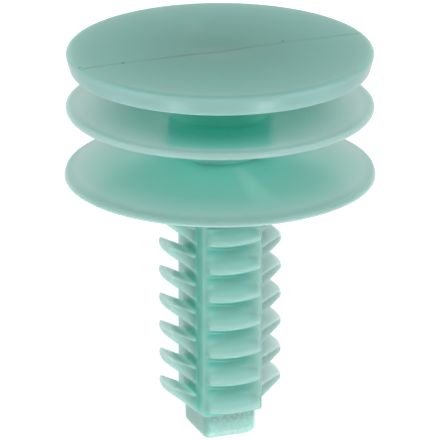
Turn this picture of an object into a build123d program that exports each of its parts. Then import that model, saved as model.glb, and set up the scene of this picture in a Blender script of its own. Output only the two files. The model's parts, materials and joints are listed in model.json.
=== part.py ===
from build123d import *
import math
import os

os.makedirs("parts", exist_ok=True)

# All lengths are millimetres. The clip is drawn standing on its own axis first,
# with the head's top face at height 0 and the shank below it, and is laid down last.

# The round head that is pressed with the thumb.
head_radius = 9.0
head_lower_radius = 8.68
head_thickness = 1.2
head_edge_round = 0.28
head_under_round = 0.1

# The neck the trim's keyhole slot slides onto, between head and middle disc.
neck_radius = 2.93
neck_fillet = 0.4
slot_gap = 2.1

# The middle disc is a shallow dish: its rim stands a little above its middle.
middle_radius = 9.07
middle_lower_radius = 8.86
middle_rim_thickness = 0.5
middle_dish = 0.6
middle_web_thickness = 0.55
middle_flat = 0.5
middle_edge_round = 0.12

# The lower disc is a thin umbrella that is squeezed against the door panel.
lower_gap = 3.52
lower_radius = 9.12
lower_upper_radius = 8.98
lower_rim_thickness = 0.46
lower_rise = 0.95
lower_web_thickness = 0.62
lower_neck_radius = 2.4
lower_flat = 0.3
lower_hollow_flat = 0.6
lower_top_round = 0.12
lower_edge_round = 0.1

# The shank is a plain rectangular bar with a smaller square tip.
bar_width = 3.72
bar_depth = 4.4
bar_corner_round = 0.14
bar_tail = 0.5505
tip_width = 3.29
tip_length = 1.77
tip_bevel = 0.35

# Angled barbs stand on the two narrow sides of the bar.
barb_count = 7
barb_pitch = 1.743
barb_first = 10.17
barb_radius = 3.64
barb_width = 2.5
barb_lip = 0.32
barb_lip_flat = 0.4
barb_top_slope = 27
barb_under_slope = 29
barb_edge_round = 0.09

# Low wedge ridges stand on the two broad faces, half a pitch from the barbs.
ridge_radius = 3.05
ridge_width = 3.16
ridge_lip = 0.24
ridge_flank = 30
ridge_edge_round = 0.07

# How the clip lies, on the rim of the lower disc and on the shank's last ridge, and
# how far the bar is turned about the clip's axis from there.
lean = 23.43
roll = 21.0

# How far a piece runs into its neighbour, or past the face that trims it.
overlap = 0.3

# How near to its stated place an edge has to lie to be the one that is rounded.
nearness = 0.01

# Heights below the head's top face that follow from the sizes above.
middle_rim_top = head_thickness + slot_gap
middle_rim_bottom = middle_rim_top + middle_rim_thickness
middle_centre_top = middle_rim_top + middle_dish
middle_centre_bottom = middle_centre_top + middle_web_thickness
lower_rim_top = middle_rim_bottom + lower_gap
lower_rim_bottom = lower_rim_top + lower_rim_thickness
lower_centre_top = lower_rim_top - lower_rise
lower_centre_bottom = lower_centre_top + lower_web_thickness

# The bar always runs on past its last ridge, however many barbs there are.
ridge_drop = barb_pitch / 2
last_barb = barb_first + (barb_count - 1) * barb_pitch
bar_end = last_barb + ridge_drop + bar_tail


def turned(outline):
    """Revolve a closed outline of (radius, height) points about the clip's axis."""
    points = [(radius, 0, height) for radius, height in outline]
    face = make_face(Polyline(*points, close=True))
    return revolve(face, Axis.Z, 360)


def round_circles(solid, radius, height, amount):
    """Round the circular edges found at one radius and height of a turned solid."""
    near = [
        edge
        for edge in solid.edges().filter_by(GeomType.CIRCLE)
        if abs(edge.radius - radius) < nearness
        and abs(edge.arc_center.Z - height) < nearness
    ]
    return fillet(near, amount)


# Head: a flat round plate with a rounded upper edge and a rim that draws in below.
head = turned([
    (0, 0),
    (head_radius, 0),
    (head_lower_radius, -head_thickness),
    (0, -head_thickness),
])
head = round_circles(head, head_radius, 0, head_edge_round)
head = round_circles(head, head_lower_radius, -head_thickness, head_under_round)

# Middle disc: a dished plate whose rim draws in a little towards its lower edge.
middle = turned([
    (0, -middle_centre_top),
    (neck_radius + middle_flat, -middle_centre_top),
    (middle_radius, -middle_rim_top),
    (middle_lower_radius, -middle_rim_bottom),
    (neck_radius, -middle_centre_bottom),
    (0, -middle_centre_bottom),
])
middle = round_circles(middle, middle_radius, -middle_rim_top, middle_edge_round)
middle = round_circles(
    middle, middle_lower_radius, -middle_rim_bottom, middle_edge_round
)

# Lower disc: a thin umbrella, open underneath, with its rim the lowest part of it.
lower = turned([
    (0, -lower_centre_top),
    (lower_neck_radius + lower_flat, -lower_centre_top),
    (lower_upper_radius, -lower_rim_top),
    (lower_radius, -lower_rim_bottom),
    (lower_neck_radius + lower_hollow_flat, -lower_centre_bottom),
    (0, -lower_centre_bottom),
])
lower = round_circles(lower, lower_upper_radius, -lower_rim_top, lower_top_round)
lower = round_circles(lower, lower_radius, -lower_rim_bottom, lower_edge_round)

# Necks: plain round columns that run a little way into the discs they join.
upper_neck_length = middle_centre_top - head_thickness + 2 * overlap
upper_neck = Pos(0, 0, -head_thickness + overlap) * Cylinder(
    neck_radius,
    upper_neck_length,
    align=(Align.CENTER, Align.CENTER, Align.MAX),
)
lower_neck_length = lower_centre_top - middle_centre_bottom + 2 * overlap
lower_neck = Pos(0, 0, -middle_centre_bottom + overlap) * Cylinder(
    lower_neck_radius,
    lower_neck_length,
    align=(Align.CENTER, Align.CENTER, Align.MAX),
)

discs = head + middle + lower + upper_neck + lower_neck
discs = round_circles(discs, neck_radius, -head_thickness, neck_fillet)

# Bar and tip: the bar's long corners are slightly rounded, the tip's end is bevelled.
bar_start = lower_centre_bottom - overlap
bar = Pos(0, 0, -bar_start) * Box(
    bar_width,
    bar_depth,
    bar_end - bar_start,
    align=(Align.CENTER, Align.CENTER, Align.MAX),
)
bar = fillet(bar.edges().filter_by(Axis.Z), bar_corner_round)
tip = Pos(0, 0, -bar_end + overlap) * Box(
    tip_width,
    tip_width,
    tip_length + overlap,
    align=(Align.CENTER, Align.CENTER, Align.MAX),
)
tip = chamfer(tip.faces().sort_by(Axis.Z)[0].edges(), tip_bevel)
tip = fillet(tip.edges().filter_by(Axis.Z), bar_corner_round)

# Barb: one angled plate in the X-Z plane, trimmed round so it fits a round hole.
inner = bar_width / 2 - overlap
top_tan = math.tan(math.radians(barb_top_slope))
under_tan = math.tan(math.radians(barb_under_slope))
flat_start = barb_radius - barb_lip_flat
barb_outline = Polyline(
    (inner, 0, barb_lip / 2 - (flat_start - inner) * top_tan),
    (flat_start, 0, barb_lip / 2),
    (barb_radius + overlap, 0, barb_lip / 2),
    (barb_radius + overlap, 0, -barb_lip / 2),
    (barb_radius, 0, -barb_lip / 2),
    (inner, 0, -barb_lip / 2 - (barb_radius - inner) * under_tan),
    close=True,
)
barb = extrude(make_face(barb_outline), barb_width / 2, dir=(0, 1, 0), both=True)
barb = barb & Cylinder(barb_radius, bar_end)
lip_edges = [
    edge
    for edge in barb.edges().filter_by(GeomType.CIRCLE)
    if abs(edge.radius - barb_radius) < nearness
]
barb = fillet(lip_edges, barb_edge_round)

# Ridge: part of a turned wedge ring, kept on the bar's front face.
flank_tan = math.tan(math.radians(ridge_flank))
ridge_inner = bar_depth / 2 - overlap
ridge_reach = ridge_radius - ridge_inner
ring = turned([
    (ridge_inner, ridge_lip / 2 + ridge_reach * flank_tan),
    (ridge_radius, ridge_lip / 2),
    (ridge_radius, -ridge_lip / 2),
    (ridge_inner, -ridge_lip / 2 - ridge_reach * flank_tan),
])
ring = round_circles(ring, ridge_radius, ridge_lip / 2, ridge_edge_round)
ring = round_circles(ring, ridge_radius, -ridge_lip / 2, ridge_edge_round)
ridge = ring & Pos(0, -ridge_inner, 0) * Box(
    ridge_width,
    bar_depth,
    bar_depth,
    align=(Align.CENTER, Align.MAX, Align.CENTER),
)

# The barbs and ridges repeat down the shank; each has a twin on the far side.
shank = bar + tip
for number in range(barb_count):
    level = -barb_first - number * barb_pitch
    shank += Pos(0, 0, level) * barb
    shank += Pos(0, 0, level) * Rot(0, 0, 180) * barb
    between = level - ridge_drop
    shank += Pos(0, 0, between) * ridge
    shank += Pos(0, 0, between) * Rot(0, 0, 180) * ridge

clip = discs + Rot(0, 0, roll) * shank

# Lay the clip down: head end towards +Y, resting on the floor at height 0.
clip = Rot(lean - 90, 0, 0) * clip
box = clip.bounding_box()
middle_of_box = ((box.min.X + box.max.X) / 2, (box.min.Y + box.max.Y) / 2)
clip = Pos(-middle_of_box[0], -middle_of_box[1], -box.min.Z) * clip

clip.label = "trim_clip"
export_step(clip, "parts/trim_clip.step")
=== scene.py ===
import bpy
import bmesh
import json
import math
from mathutils import Matrix, Vector


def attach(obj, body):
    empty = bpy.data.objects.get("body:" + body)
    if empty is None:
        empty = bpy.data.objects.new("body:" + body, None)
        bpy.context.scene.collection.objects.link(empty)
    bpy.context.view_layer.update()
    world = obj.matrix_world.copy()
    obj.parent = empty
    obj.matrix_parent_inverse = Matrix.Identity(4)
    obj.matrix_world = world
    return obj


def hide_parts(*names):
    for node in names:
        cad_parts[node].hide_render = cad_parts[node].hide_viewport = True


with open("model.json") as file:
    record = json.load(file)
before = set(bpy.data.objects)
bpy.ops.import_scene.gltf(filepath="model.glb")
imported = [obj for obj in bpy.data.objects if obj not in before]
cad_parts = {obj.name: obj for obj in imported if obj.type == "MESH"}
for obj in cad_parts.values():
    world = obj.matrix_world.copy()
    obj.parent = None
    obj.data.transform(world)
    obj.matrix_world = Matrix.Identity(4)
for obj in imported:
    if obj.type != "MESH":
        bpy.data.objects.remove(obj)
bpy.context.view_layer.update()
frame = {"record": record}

# Head: the round plate that the thumb presses, moulded in one piece with the rest
# in slightly see-through nylon. It is turned about the clip's axis together with the
# upper neck, and has a shallow sink mark over it. Lengths are in millimetres.
MM = 0.001
STEPS_ROUND = 288
HEAD_RADIUS = 9.0
HEAD_LOWER_RADIUS = 8.68
HEAD_THICKNESS = 1.2
HEAD_ROUND = 0.3
HEAD_LOWER_ROUND = 0.1
EDGE_FALL = 0.05
FALL_START = 5.0
FALL_MIDDLE = 7.4
FALL_OUTER = 8.5
SINK_RADIUS = 2.7
SINK_DEPTH = 0.05
SINK_STEPS = 8
NECK_RADIUS = 2.93
NECK_ROUND = 0.4
SLOT_GAP = 2.1
OVERLAP = 0.3

head_mount = next(m for m in frame["record"]["mounts"] if m["name"] == "head_top")
head_top = Vector(head_mount["pos_m"])
clip_axis = Vector(head_mount["axis"]).normalized()
lie_down = Matrix.Rotation(-math.acos(clip_axis.z), 4, "X")
to_floor = Matrix.Translation(head_top) @ lie_down @ Matrix.Scale(MM, 4)


def outline_face(bm, corners):
    """A flat face in the X-Z plane from (x, z, radius, segments) corners."""
    verts = [bm.verts.new((x, 0, z)) for x, z, *_ in corners]
    bm.faces.new(verts)
    for vert, (_, _, radius, segments) in zip(verts, corners):
        if radius:
            bmesh.ops.bevel(
                bm, geom=[vert], offset=radius * math.tan(vert.calc_edge_angle() / 2),
                offset_type="OFFSET", affect="VERTICES", segments=segments,
                profile=0.5, material=-1,
            )


def turned(corners):
    """A closed solid spun about the clip's axis from an outline that starts on it."""
    bm = bmesh.new()
    outline_face(bm, corners)
    bmesh.ops.delete(bm, geom=bm.faces[:], context="FACES_ONLY")
    on_axis = [e for e in bm.edges if all(abs(v.co.x) < 1e-6 for v in e.verts)]
    bmesh.ops.delete(bm, geom=on_axis, context="EDGES")
    bmesh.ops.spin(
        bm, geom=bm.verts[:] + bm.edges[:], cent=(0, 0, 0), axis=(0, 0, 1),
        angle=2 * math.pi, steps=STEPS_ROUND, use_merge=True,
    )
    bmesh.ops.remove_doubles(bm, verts=bm.verts[:], dist=1e-5)
    bmesh.ops.recalc_face_normals(bm, faces=bm.faces[:])
    return bm


def as_object(bm, name):
    """Turns a bmesh into an object of the scene."""
    mesh = bpy.data.meshes.new(name)
    bm.to_mesh(mesh)
    bm.free()
    piece = bpy.data.objects.new(name, mesh)
    bpy.context.scene.collection.objects.link(piece)
    return piece


MIDDLE_DISH = 0.6
middle_top = HEAD_THICKNESS + SLOT_GAP + MIDDLE_DISH
sink = []
for step in range(SINK_STEPS + 1):
    sink_wave = math.cos(math.pi * step / SINK_STEPS)
    sink.append((SINK_RADIUS * step / SINK_STEPS, -SINK_DEPTH * (1 + sink_wave) / 2, 0, 0))
head = as_object(turned([
    *sink,
    (FALL_START, 0, 0, 0),
    (FALL_MIDDLE, -EDGE_FALL / 6, 3.0, 5),
    (FALL_OUTER, -EDGE_FALL / 2, 1.5, 5),
    (HEAD_RADIUS, -EDGE_FALL, HEAD_ROUND, 6),
    (HEAD_LOWER_RADIUS, -HEAD_THICKNESS, HEAD_LOWER_ROUND, 4),
    (NECK_RADIUS, -HEAD_THICKNESS, NECK_ROUND, 5),
    (NECK_RADIUS, -middle_top - OVERLAP, 0, 0),
    (0, -middle_top - OVERLAP, 0, 0),
]), "head")

# Middle disc: a thin dished plate under the slot that the door trim slides into.
# Its rim stands a little above its middle, and the lower neck runs on below it.
MIDDLE_RADIUS = 9.07
MIDDLE_LOWER_RADIUS = 8.86
MIDDLE_RIM = 0.5
MIDDLE_WEB = 0.55
MIDDLE_FLAT = 0.5
RIM_ROUND = 0.2
WEB_ROUND = 0.3
LOWER_GAP = 3.52
LOWER_RISE = 0.95
LOWER_NECK_RADIUS = 2.4

middle_rim_top = HEAD_THICKNESS + SLOT_GAP
middle_rim_bottom = middle_rim_top + MIDDLE_RIM
middle_bottom = middle_top + MIDDLE_WEB
lower_rim_top = middle_rim_bottom + LOWER_GAP
lower_top = lower_rim_top - LOWER_RISE
middle_disc = as_object(turned([
    (0, -middle_top, 0, 0),
    (NECK_RADIUS + MIDDLE_FLAT, -middle_top, WEB_ROUND, 4),
    (MIDDLE_RADIUS, -middle_rim_top, RIM_ROUND, 4),
    (MIDDLE_LOWER_RADIUS, -middle_rim_bottom, RIM_ROUND, 4),
    (NECK_RADIUS, -middle_bottom, 0, 0),
    (LOWER_NECK_RADIUS, -middle_bottom, WEB_ROUND, 4),
    (LOWER_NECK_RADIUS, -lower_top - OVERLAP, 0, 0),
    (0, -lower_top - OVERLAP, 0, 0),
]), "middle_disc")

# Lower disc: a thin umbrella that springs against the door panel and keeps water
# out of the hole. It is open underneath, and its rim is the lowest part of it.
LOWER_RADIUS = 9.11
LOWER_UPPER_RADIUS = 8.98
LOWER_RIM = 0.46
LOWER_WEB = 0.62
LOWER_FLAT = 0.3
LOWER_ROUND = 0.1
HOLLOW_FLAT = 0.6

lower_bottom = lower_top + LOWER_WEB
lower_rim_bottom = lower_rim_top + LOWER_RIM
lower_disc = as_object(turned([
    (0, -lower_top, 0, 0),
    (LOWER_NECK_RADIUS + LOWER_FLAT, -lower_top, WEB_ROUND, 4),
    (LOWER_UPPER_RADIUS, -lower_rim_top, RIM_ROUND, 4),
    (LOWER_RADIUS, -lower_rim_bottom, LOWER_ROUND, 4),
    (LOWER_NECK_RADIUS + HOLLOW_FLAT, -lower_bottom, WEB_ROUND, 4),
    (0, -lower_bottom, 0, 0),
]), "lower_disc")

# Shank: a plain rectangular bar with softly rounded corners, and a smaller square
# tip below it that finds the hole in the panel.
BAR_WIDTH = 3.72
BAR_DEPTH = 4.4
BAR_ROUND = 0.14
BAR_FOOT_ROUND = 0.06
BAR_END = 22.058
TIP_WIDTH = 3.29
TIP_LENGTH = 1.77
TIP_BEVEL = 0.35
TIP_ROUND = 0.12
TIP_CORNER = 0.3
ROLL = math.radians(21)


def block(width, depth, top, bottom):
    """A box on the clip's axis between two heights."""
    bm = bmesh.new()
    bmesh.ops.create_cube(bm, size=1)
    bmesh.ops.scale(bm, vec=(width, depth, top - bottom), verts=bm.verts[:])
    bmesh.ops.translate(bm, vec=(0, 0, (top + bottom) / 2), verts=bm.verts[:])
    return bm


def upright(edge):
    """True for an edge along the clip's axis."""
    a, b = edge.verts
    return (a.co - b.co).xy.length < 1e-6


def round_edges(bm, edges, amount, segments):
    """Bevels some edges of a mesh."""
    bmesh.ops.bevel(
        bm, geom=edges, offset=amount, offset_type="OFFSET", affect="EDGES",
        segments=segments, profile=0.5, material=-1,
    )


def foot_edges(bm, bottom):
    """The edges that lie on the end face of a block."""
    return [e for e in bm.edges if all(v.co.z < bottom + 1e-4 for v in e.verts)]


bm = block(BAR_WIDTH, BAR_DEPTH, -lower_bottom + OVERLAP, -BAR_END)
round_edges(bm, [e for e in bm.edges if upright(e)], BAR_ROUND, 4)
round_edges(bm, foot_edges(bm, -BAR_END), BAR_FOOT_ROUND, 2)
bar = as_object(bm, "bar")

tip_end = -BAR_END - TIP_LENGTH
bm = block(TIP_WIDTH, TIP_WIDTH, -BAR_END + OVERLAP, tip_end)
round_edges(bm, foot_edges(bm, tip_end), TIP_BEVEL, 1)
corners = [e for e in bm.edges if e.calc_face_angle(0) > TIP_CORNER]
round_edges(bm, corners, TIP_ROUND, 3)
tip = as_object(bm, "tip")

# Barbs: seven angled plates up each narrow side of the bar, trimmed round to grip
# a round hole. They bend in as the clip is pushed home and catch behind the panel.
BARB_COUNT = 7
BARB_PITCH = 1.743
BARB_FIRST = 10.02
BARB_RADIUS = 3.61
BARB_WIDTH = 2.3
BARB_LIP = 0.44
BARB_LIP_FLAT = 0.1
BARB_LIP_ROUND = 0.09
BARB_UNDER_ROUND = 0.12
BARB_SIDE_ROUND = 0.05
BARB_TOP = math.tan(math.radians(25))
BARB_UNDER = math.tan(math.radians(39))
BARB_SLICES = 10
SLICED_SHARE = 0.94
BENT_LENGTH = 0.2


def add_to(bm, one):
    """Moves the content of one mesh into another."""
    part = bpy.data.meshes.new("part")
    one.to_mesh(part)
    one.free()
    bm.from_mesh(part)
    bpy.data.meshes.remove(part)


def barb_at(bm, level, turn):
    """Adds one barb on the side of the bar that turn points to, its lip bent round."""
    inner = BAR_WIDTH / 2 - OVERLAP
    flat_start = BARB_RADIUS - BARB_LIP_FLAT
    half = BARB_LIP / 2
    one = bmesh.new()
    outline_face(one, [
        (inner, half - (flat_start - inner) * BARB_TOP, 0, 0),
        (flat_start, half, 0, 0),
        (BARB_RADIUS, half, BARB_LIP_ROUND, 4),
        (BARB_RADIUS, -half, BARB_UNDER_ROUND, 4),
        (inner, -half - (BARB_RADIUS - inner) * BARB_UNDER, 0, 0),
    ])
    bmesh.ops.translate(one, vec=(0, -BARB_WIDTH / 2, 0), verts=one.verts[:])
    made = bmesh.ops.extrude_face_region(one, geom=one.faces[:])
    lifted = [v for v in made["geom"] if isinstance(v, bmesh.types.BMVert)]
    bmesh.ops.translate(one, vec=(0, BARB_WIDTH, 0), verts=lifted)
    bmesh.ops.recalc_face_normals(one, faces=one.faces[:])
    side_edges = [
        e for e in one.edges if any(abs(f.normal.y) > 0.9 for f in e.link_faces)
    ]
    round_edges(one, side_edges, BARB_SIDE_ROUND, 2)
    for step in range(1, BARB_SLICES):
        y = BARB_WIDTH * (step / BARB_SLICES - 0.5) * SLICED_SHARE
        bmesh.ops.bisect_plane(
            one, geom=one.verts[:] + one.edges[:] + one.faces[:], dist=1e-6,
            plane_co=(0, y, 0), plane_no=(0, 1, 0),
        )
    for v in one.verts:
        if v.co.x > flat_start - BENT_LENGTH:
            v.co.x -= BARB_RADIUS - math.sqrt(BARB_RADIUS**2 - v.co.y**2)
    place = Matrix.Translation((0, 0, level)) @ Matrix.Rotation(turn, 4, "Z")
    bmesh.ops.transform(one, matrix=place, verts=one.verts[:])
    add_to(bm, one)


bm = bmesh.new()
for number in range(BARB_COUNT):
    for turn in (0, math.pi):
        barb_at(bm, -BARB_FIRST - number * BARB_PITCH, turn)
barbs = as_object(bm, "barbs")

# Ridges: low wedges across the two broad faces, about half a pitch below the barbs.
# Each is a piece of a turned ring, so that its lip is round about the clip's axis.
RIDGE_RADIUS = 3.05
RIDGE_WIDTH = 3.16
RIDGE_LIP = 0.24
RIDGE_ROUND = 0.07
RIDGE_DROP = 1.03
RIDGE_TOP = math.tan(math.radians(37))
RIDGE_UNDER = math.tan(math.radians(24))
RIDGE_SWEEP = math.radians(50)
RIDGE_STEPS = 32


def ridge_at(bm, level, turn):
    """Adds one ridge to the mesh, on the face of the bar that turn points to."""
    inner = BAR_DEPTH / 2 - OVERLAP
    half = RIDGE_LIP / 2
    reach = RIDGE_RADIUS - inner
    one = bmesh.new()
    outline_face(one, [
        (inner, half + reach * RIDGE_TOP, 0, 0),
        (RIDGE_RADIUS, half, RIDGE_ROUND, 3),
        (RIDGE_RADIUS, -half, RIDGE_ROUND, 3),
        (inner, -half - reach * RIDGE_UNDER, 0, 0),
    ])
    start = Matrix.Rotation(-math.pi / 2 - RIDGE_SWEEP, 3, "Z")
    bmesh.ops.rotate(one, cent=(0, 0, 0), matrix=start, verts=one.verts[:])
    bmesh.ops.spin(
        one, geom=one.verts[:] + one.edges[:] + one.faces[:], cent=(0, 0, 0),
        axis=(0, 0, 1), angle=2 * RIDGE_SWEEP, steps=RIDGE_STEPS,
    )
    bmesh.ops.recalc_face_normals(one, faces=one.faces[:])
    for side in (-1, 1):
        bmesh.ops.bisect_plane(
            one, geom=one.verts[:] + one.edges[:] + one.faces[:], dist=1e-6,
            plane_co=(side * RIDGE_WIDTH / 2, 0, 0), plane_no=(side, 0, 0),
            clear_outer=True,
        )
        open_edges = [e for e in one.edges if e.is_boundary]
        bmesh.ops.holes_fill(one, edges=open_edges, sides=0)
    bmesh.ops.recalc_face_normals(one, faces=one.faces[:])
    place = Matrix.Translation((0, 0, level)) @ Matrix.Rotation(turn, 4, "Z")
    bmesh.ops.transform(one, matrix=place, verts=one.verts[:])
    add_to(bm, one)


bm = bmesh.new()
for number in range(BARB_COUNT):
    for turn in (0, math.pi):
        ridge_at(bm, -BARB_FIRST - number * BARB_PITCH - RIDGE_DROP, turn)
ridges = as_object(bm, "ridges")

# Clip body: head, discs, shank, barbs and ridges leave one mould as one solid. The
# shank's pieces are joined and softened as moulded corners are, then it is all laid
# down on the floor.
SKIN_STEP = 0.085
SOFTENING = 12
SHARP_ANGLE = math.radians(32)


def joined(first, others):
    """The first object's mesh, united with the meshes of the others."""
    for part in others:
        join = first.modifiers.new(part.name, "BOOLEAN")
        join.operation = "UNION"
        join.solver = "EXACT"
        join.object = part
    graph = bpy.context.evaluated_depsgraph_get()
    skin = bpy.data.meshes.new_from_object(first.evaluated_get(graph))
    for part in (first, *others):
        bpy.data.objects.remove(part)
    bm = bmesh.new()
    bm.from_mesh(skin)
    bpy.data.meshes.remove(skin)
    bmesh.ops.remove_doubles(bm, verts=bm.verts[:], dist=1e-4)
    bmesh.ops.dissolve_degenerate(bm, edges=bm.edges[:], dist=1e-4)
    bmesh.ops.recalc_face_normals(bm, faces=bm.faces[:])
    return bm


bm = joined(bar, (tip, barbs, ridges))
bmesh.ops.rotate(
    bm, cent=(0, 0, 0), matrix=Matrix.Rotation(ROLL, 3, "Z"), verts=bm.verts[:]
)
shank = as_object(bm, "shank")
reskin = shank.modifiers.new("skin", "REMESH")
reskin.mode = "VOXEL"
reskin.voxel_size = SKIN_STEP
soften = shank.modifiers.new("soften", "SMOOTH")
soften.factor = 0.5
soften.iterations = SOFTENING
graph = bpy.context.evaluated_depsgraph_get()
skin = bpy.data.meshes.new_from_object(shank.evaluated_get(graph))
bpy.data.objects.remove(shank)
bm = bmesh.new()
bm.from_mesh(skin)
bmesh.ops.recalc_face_normals(bm, faces=bm.faces[:])
bmesh.ops.transform(bm, matrix=to_floor, verts=bm.verts[:])
shank = as_object(bm, "shank")
bm = joined(head, (middle_disc, lower_disc))
bmesh.ops.transform(bm, matrix=to_floor, verts=bm.verts[:])
clip_body = as_object(bm, "clip_body")
clip_body.data.shade_smooth()
clip_body.data.set_sharp_from_angle(angle=SHARP_ANGLE)
shank.data.shade_smooth()

# Plastic: pale sea-green nylon that lets some light through. Its colour follows the
# place on the clip, deep green where the wall is thick and pale at the thin rims. Much
# of it is painted light and shade: shade in the gaps and hollows, light on the faces
# turned to the head and through the thin plastic.
plastic = bpy.data.materials.new("clip_plastic")
plastic.use_nodes = True
nodes = plastic.node_tree.nodes
links = plastic.node_tree.links
shader = nodes["Principled BSDF"]


def feed(socket, value):
    """Links a socket to another node's output, or sets it to a plain value."""
    if isinstance(value, bpy.types.NodeSocket):
        links.new(value, socket)
    else:
        socket.default_value = value


def calc(operation, *values):
    """A math node on numbers or sockets."""
    node = nodes.new("ShaderNodeMath")
    node.operation = operation
    for socket, value in zip(node.inputs, values):
        feed(socket, value)
    return node.outputs[0]


def fade(value, low, high):
    """A smooth step that rises from 0 at low to 1 at high."""
    node = nodes.new("ShaderNodeMapRange")
    node.interpolation_type = "SMOOTHSTEP"
    feed(node.inputs["Value"], value)
    node.inputs["From Min"].default_value = low
    node.inputs["From Max"].default_value = high
    return node.outputs[0]


def ramp(value, *stops):
    """A colour ramp with (place, colour) stops."""
    node = nodes.new("ShaderNodeValToRGB")
    feed(node.inputs[0], value)
    elements = node.color_ramp.elements
    elements.remove(elements[1])
    elements[0].position = stops[0][0]
    elements[0].color = (*stops[0][1], 1)
    for place, colour in stops[1:]:
        elements.new(place).color = (*colour, 1)
    return node.outputs[0]


def blend(factor, first, second):
    """Mixes two colours."""
    node = nodes.new("ShaderNodeMix")
    node.data_type = "RGBA"
    feed(node.inputs["Factor"], factor)
    for name, value in (("A", first), ("B", second)):
        socket = next(i for i in node.inputs if i.name == name and i.type == "RGBA")
        if isinstance(value, tuple):
            value = (*value, 1)
        feed(socket, value)
    return next(o for o in node.outputs if o.type == "RGBA")


def tinted(colour, tint):
    """A colour multiplied by another."""
    node = nodes.new("ShaderNodeMix")
    node.data_type = "RGBA"
    node.blend_type = "MULTIPLY"
    node.inputs["Factor"].default_value = 1
    first, second = [i for i in node.inputs if i.type == "RGBA"]
    links.new(colour, first)
    links.new(tint, second)
    return next(o for o in node.outputs if o.type == "RGBA")


def parts_of(vector):
    """The three numbers of a vector socket."""
    node = nodes.new("ShaderNodeSeparateXYZ")
    links.new(vector, node.inputs[0])
    return node.outputs


def mapped(vector, turn, scale, shift):
    """A vector that is scaled, then turned, then moved."""
    node = nodes.new("ShaderNodeMapping")
    links.new(vector, node.inputs["Vector"])
    node.inputs["Scale"].default_value = (scale, scale, scale)
    node.inputs["Rotation"].default_value = turn
    node.inputs["Location"].default_value = shift
    return node.outputs[0]


def length_of(a, b):
    """The length of a flat vector from its two numbers."""
    return calc("SQRT", calc("ADD", calc("MULTIPLY", a, a), calc("MULTIPLY", b, b)))


def product(*values):
    """The product of several values."""
    result = values[0]
    for value in values[1:]:
        result = calc("MULTIPLY", result, value)
    return result


def noise(scale, detail):
    """The value of a noise texture that is fixed to the clip."""
    node = nodes.new("ShaderNodeTexNoise")
    node.inputs["Scale"].default_value = scale
    node.inputs["Detail"].default_value = detail
    links.new(clip_place, node.inputs["Vector"])
    return node.outputs["Fac"]


# places on the clip, in millimetres from the middle of the head's top
coords = nodes.new("ShaderNodeTexCoord")
lean_back = (math.acos(clip_axis.z), 0, 0)
head_top_mm = (lie_down.inverted() @ head_top) / MM
clip_place = mapped(coords.outputs["Object"], lean_back, 1 / MM, -head_top_mm)
bar_place = mapped(clip_place, (0, 0, -ROLL), 1, (0, 0, 0))
x, y, z = parts_of(clip_place)
bar_x, bar_y, _ = parts_of(bar_place)
depth = calc("MULTIPLY", z, -1)
across = calc("ABSOLUTE", bar_x)
beside = calc("ABSOLUTE", x)
radius = length_of(x, y)
tenth = calc("DIVIDE", radius, 10)
facing_head = parts_of(mapped(coords.outputs["Normal"], lean_back, 1, (0, 0, 0)))[2]
# painted light: faces turned to the head are painted paler, as if lit from the head's side
painted_light_up = fade(facing_head, 0.1, 0.6)
right_half = fade(bar_x, -0.5, 0.5)

# middle disc: deep green near the neck, the gap's shade there partly painted out with
# painted light; in front of the neck a painted dark reflection of it lies on the disc's top
middle_colour = ramp(
    tenth,
    (0.24, (0.23, 0.73, 0.62)), (0.32, (0.20, 0.66, 0.55)), (0.47, (0.22, 0.62, 0.54)),
    (0.62, (0.40, 0.64, 0.59)), (0.72, (0.44, 0.63, 0.59)), (0.82, (0.47, 0.59, 0.56)),
    (0.87, (0.33, 0.46, 0.44)), (0.90, (0.25, 0.39, 0.365)),
)
off_centre = calc("ABSOLUTE", calc("ADD", x, 0.1))
in_shade = product(fade(off_centre, 3.5, 2.6), fade(y, -1.5, -3.0), fade(radius, 8.6, 7.4))
neck_shade = blend(in_shade, (1.0, 1.0, 1.0), (0.55, 0.90, 0.86))
middle_colour = tinted(middle_colour, neck_shade)

# lower disc: a painted pale streak of light that comes through the gap beside the lower
# neck
lower_colour = ramp(
    tenth,
    (0.24, (0.25, 0.69, 0.60)), (0.30, (0.32, 0.67, 0.59)), (0.46, (0.31, 0.58, 0.53)),
    (0.64, (0.275, 0.485, 0.44)), (0.76, (0.30, 0.465, 0.43)), (0.84, (0.335, 0.45, 0.43)),
    (0.88, (0.265, 0.375, 0.355)), (0.905, (0.19, 0.305, 0.285)),
)
front_turn = calc("ARCTAN2", x, calc("MULTIPLY", y, -1))
off_streak = calc("ABSOLUTE", calc("SUBTRACT", front_turn, ROLL))
light_streak = product(
    fade(off_streak, 0.17, 0.03), fade(radius, 8.4, 3.6), fade(radius, 2.6, 3.0), 0.75
)
lower_colour = blend(light_streak, lower_colour, (0.46, 0.68, 0.63))

# head: its brim, and the line where the halves of the mould meet across its top
PARTING_SLOPE = 0.41
PARTING_OFFSET = -0.6
PARTING_WOBBLE = 0.35
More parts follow.
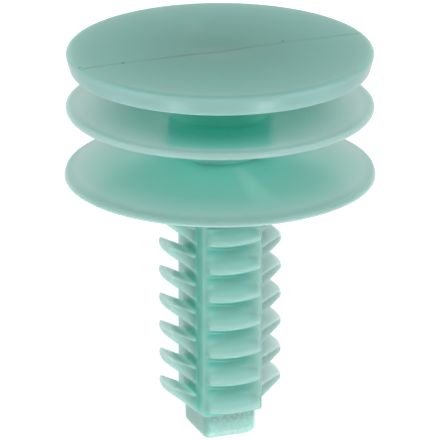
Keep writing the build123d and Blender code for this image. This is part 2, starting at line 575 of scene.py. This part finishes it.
# painted shade and light: the brim darker towards its sides, and the top darker in the
# middle over the neck and paler towards the rim, where light comes through from below
brim_colour = blend(fade(beside, 5.5, 8.4), (0.25, 0.42, 0.395), (0.20, 0.35, 0.325))
top_colour = ramp(
    tenth,
    (0.0, (0.010, 0.220, 0.165)), (0.36, (0.022, 0.268, 0.210)),
    (0.62, (0.060, 0.335, 0.275)), (0.78, (0.110, 0.375, 0.320)),
    (0.875, (0.175, 0.380, 0.335)),
)
wobble = calc("MULTIPLY", calc("SUBTRACT", noise(0.55, 3), 0.5), PARTING_WOBBLE)
line_y = calc("ADD", calc("MULTIPLY", x, PARTING_SLOPE), PARTING_OFFSET)
off_line = calc("ABSOLUTE", calc("ADD", calc("SUBTRACT", y, line_y), wobble))
deepest = fade(calc("ABSOLUTE", calc("ADD", x, 0.4)), 4.5, 1.0)
line_depth = calc("ADD", calc("MULTIPLY", deepest, 0.55), 0.4)
line_colour = blend(deepest, (0.0, 0.19, 0.14), (0.0, 0.155, 0.112))
top_colour = blend(product(fade(off_line, 0.28, 0.03), line_depth), top_colour, line_colour)

# specks of dirt on the line, and a faint scuff behind it
SPECK_COLOUR = (0.0, 0.05, 0.035)
SPECKS = ((-5.55, -2.84, 0.16), (3.65, 1.22, 0.15), (-8.0, -3.5, 0.1))
for speck_x, speck_y, speck_size in SPECKS:
    away = length_of(calc("SUBTRACT", x, speck_x), calc("SUBTRACT", y, speck_y))
    top_colour = blend(fade(away, speck_size, speck_size * 0.3), top_colour, SPECK_COLOUR)
scuff_x = calc("ABSOLUTE", calc("ADD", x, 1.6))
scuff_y = calc("ABSOLUTE", calc("SUBTRACT", y, 4.2))
scuff = product(fade(scuff_x, 0.8, 0.2), fade(scuff_y, 1.7, 0.6), 0.22)
top_colour = blend(scuff, top_colour, (0.14, 0.34, 0.30))

disc_colour = blend(fade(depth, 4.6, 5.4), middle_colour, lower_colour)
on_head = fade(depth, 1.3, 1.1)
brim_zone = blend(fade(radius, 8.3, 8.7), disc_colour, brim_colour)
round_colour = blend(on_head, disc_colour, brim_zone)
on_top = product(fade(facing_head, 0.45, 0.97), on_head)
round_colour = blend(on_top, round_colour, top_colour)

# shank's broad faces: painted shade, deep green below each ridge's lip, and painted light,
# pale on the flank above it
ridge_turn = calc("DIVIDE", calc("SUBTRACT", depth, BARB_FIRST + RIDGE_DROP), BARB_PITCH)
front_colour = ramp(
    calc("FRACT", ridge_turn),
    (0.0, (0.25, 0.43, 0.39)), (0.06, (0.25, 0.47, 0.42)), (0.10, (0.22, 0.52, 0.45)),
    (0.18, (0.14, 0.48, 0.40)), (0.36, (0.10, 0.43, 0.355)), (0.50, (0.18, 0.51, 0.45)),
    (0.62, (0.32, 0.60, 0.55)), (0.80, (0.37, 0.58, 0.54)), (0.96, (0.29, 0.46, 0.43)),
)
# painted shadow of the lower disc across the bar's faces above the first ridge
front_colour = blend(fade(ridge_turn, -0.5, -0.42), (0.10, 0.30, 0.24), front_colour)
# painted shade at the left end of the face, painted light over its right part, and painted
# shade on the right corner to hold down its bright edge
front_colour = blend(fade(bar_x, -1.3, -1.8), front_colour, (0.19, 0.40, 0.35))
front_colour = blend(fade(bar_x, 0.6, 1.7), front_colour, (0.28, 0.465, 0.425))
front_colour = blend(fade(bar_x, 1.6, 1.8), front_colour, (0.20, 0.35, 0.315))

# shank's narrow faces: pale barbs, painted paler still on the faces turned to the head and
# in the creases at their roots as painted light, with painted shade in the deeper pockets
# between their roots
barb_top = blend(fade(across, 2.7, 2.1), (0.44, 0.58, 0.55), (0.66, 0.86, 0.81))
left_barb = blend(painted_light_up, (0.29, 0.47, 0.43), barb_top)
right_barb = blend(painted_light_up, (0.28, 0.40, 0.375), (0.64, 0.80, 0.76))
barb_colour = blend(right_half, left_barb, right_barb)
pocket = blend(fade(bar_y, -1.6, -0.9), (0.13, 0.44, 0.365), (0.20, 0.72, 0.605))
pocket = blend(fade(bar_y, 0.0, 1.4), pocket, (0.34, 0.56, 0.51))
pocket = blend(right_half, pocket, (0.34, 0.50, 0.46))
side_colour = blend(fade(across, 1.88, 2.05), pocket, barb_colour)
shank_colour = blend(fade(across, 1.80, 1.92), front_colour, side_colour)

# tip: a rough front face, its left side painted darker as shade, and a speck of dirt on
# the last barb above it
tip_face = blend(
    fade(depth, BAR_END + 0.4, BAR_END + 0.9), (0.24, 0.42, 0.38), (0.33, 0.55, 0.505)
)
tip_grain = product(fade(noise(5.5, 2), 0.42, 0.62), 0.35)
tip_front = blend(tip_grain, tip_face, (0.46, 0.68, 0.64))
tip_colour = blend(fade(bar_x, -1.1, -1.6), tip_front, (0.195, 0.35, 0.315))
tip_zone = fade(depth, BAR_END - 0.15, BAR_END + 0.1)
shank_colour = blend(tip_zone, shank_colour, tip_colour)
speck_depth = BARB_FIRST + (BARB_COUNT - 1) * BARB_PITCH - 0.2
away = length_of(calc("ADD", bar_x, 3.25), calc("SUBTRACT", depth, speck_depth))
shank_colour = blend(product(fade(away, 0.09, 0.03), 0.8), shank_colour, SPECK_COLOUR)

on_shank = product(fade(depth, 6.6, 7.2), fade(radius, 4.6, 3.9))
colour = blend(on_shank, round_colour, shank_colour)
links.new(colour, shader.inputs["Base Color"])
shader.inputs["Roughness"].default_value = 0.3
shader.inputs["Specular IOR Level"].default_value = 0.3
shader.inputs["Subsurface Weight"].default_value = 1.0
shader.inputs["Subsurface Radius"].default_value = (1.7, 2.3, 2.1)
shader.inputs["Subsurface Scale"].default_value = MM
for piece in (clip_body, shank):
    piece.data.materials.append(plastic)
    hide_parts("trim_clip")
    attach(piece, "root")

# Floor: a plain white sheet. It shows as white to the camera and keeps the soft
# shadow of the clip.
FLOOR_SIZE = 0.6
FLOOR_COLOUR = 0.8
FLOOR_GLOW = 0.5
bm = bmesh.new()
bmesh.ops.create_grid(bm, x_segments=1, y_segments=1, size=FLOOR_SIZE)
floor = as_object(bm, "floor")
paper = bpy.data.materials.new("white_sheet")
paper.use_nodes = True
nodes = paper.node_tree.nodes
links = paper.node_tree.links
nodes.clear()
out = nodes.new("ShaderNodeOutputMaterial")
add = nodes.new("ShaderNodeAddShader")
matt = nodes.new("ShaderNodeBsdfDiffuse")
matt.inputs["Color"].default_value = (FLOOR_COLOUR, FLOOR_COLOUR, FLOOR_COLOUR, 1)
glow = nodes.new("ShaderNodeEmission")
path = nodes.new("ShaderNodeLightPath")
either = nodes.new("ShaderNodeMath")
either.operation = "MAXIMUM"
any_ray = nodes.new("ShaderNodeMath")
any_ray.operation = "MAXIMUM"
dim = nodes.new("ShaderNodeMath")
dim.operation = "MULTIPLY"
dim.inputs[1].default_value = FLOOR_GLOW
links.new(path.outputs["Is Camera Ray"], either.inputs[0])
links.new(path.outputs["Is Glossy Ray"], either.inputs[1])
links.new(either.outputs[0], any_ray.inputs[0])
links.new(path.outputs["Is Transmission Ray"], any_ray.inputs[1])
links.new(any_ray.outputs[0], dim.inputs[0])
links.new(dim.outputs[0], glow.inputs["Strength"])
links.new(matt.outputs[0], add.inputs[0])
links.new(glow.outputs[0], add.inputs[1])
links.new(add.outputs[0], out.inputs["Surface"])
floor.data.materials.append(paper)

# Light: a bright even room, with a wide lamp on each side, and two small low ones
# that give the highlights on the rim of the head and the lips of the ridges.
ROOM_LIGHT = 0.75
LAMP_DISTANCE = 0.35
SMALL_LAMP = 0.05
WIDE_LAMP = 0.25

world = bpy.data.worlds.new("room")
bpy.context.scene.world = world
world.use_nodes = True
world.node_tree.nodes["Background"].inputs["Color"].default_value = (1, 1, 1, 1)
world.node_tree.nodes["Background"].inputs["Strength"].default_value = ROOM_LIGHT


def lamp(name, toward, width, power):
    """A soft square lamp aimed at the clip from the given direction."""
    data = bpy.data.lights.new(name, "AREA")
    data.size = width
    data.energy = power
    source = bpy.data.objects.new(name, data)
    bpy.context.scene.collection.objects.link(source)
    toward = Vector(toward).normalized()
    source.location = clip_middle + toward * LAMP_DISTANCE
    source.rotation_euler = toward.to_track_quat("Z", "Y").to_euler()


clip_middle = Vector((0, 0, 0.008))
lamp("key_lamp", (0.46, -0.88, 0.2), SMALL_LAMP, 0.22)
lamp("low_lamp", (-0.46, -0.88, 0.2), SMALL_LAMP, 0.16)
lamp("left_lamp", (-0.9, -0.1, 0.45), WIDE_LAMP, 0.38)
lamp("right_lamp", (0.9, -0.1, 0.45), WIDE_LAMP, 0.36)

# Camera: looks at the clip from 20.6 degrees above its discs and from 28 cm away,
# with a long lens, so that the clip stands upright in the picture.
VIEW_RISE = math.radians(20.56)
VIEW_DISTANCE = 0.2786
AIM_HEIGHT = -12.59
AIM_UP = 1.854
LENS = 388.4
SENSOR = 36
view_from_front = lie_down @ Vector((0, -1, 0))
to_camera = view_from_front * math.cos(VIEW_RISE) + clip_axis * math.sin(VIEW_RISE)
right = Vector((1, 0, 0))
up = to_camera.cross(right).normalized()
aim = to_floor @ Vector((0, 0, AIM_HEIGHT))
eye = aim + to_camera * VIEW_DISTANCE
target = aim + up * AIM_UP * MM
data = bpy.data.cameras.new("photo_camera")
data.sensor_width = SENSOR
data.lens = LENS
camera = bpy.data.objects.new("photo_camera", data)
bpy.context.scene.collection.objects.link(camera)
back = (eye - target).normalized()
side = up.cross(back).normalized()
camera.matrix_world = Matrix((
    (*side,), (*back.cross(side),), (*back,)
)).transposed().to_4x4()
camera.location = eye
bpy.context.scene.camera = camera
bpy.context.scene.view_settings.view_transform = "Standard"
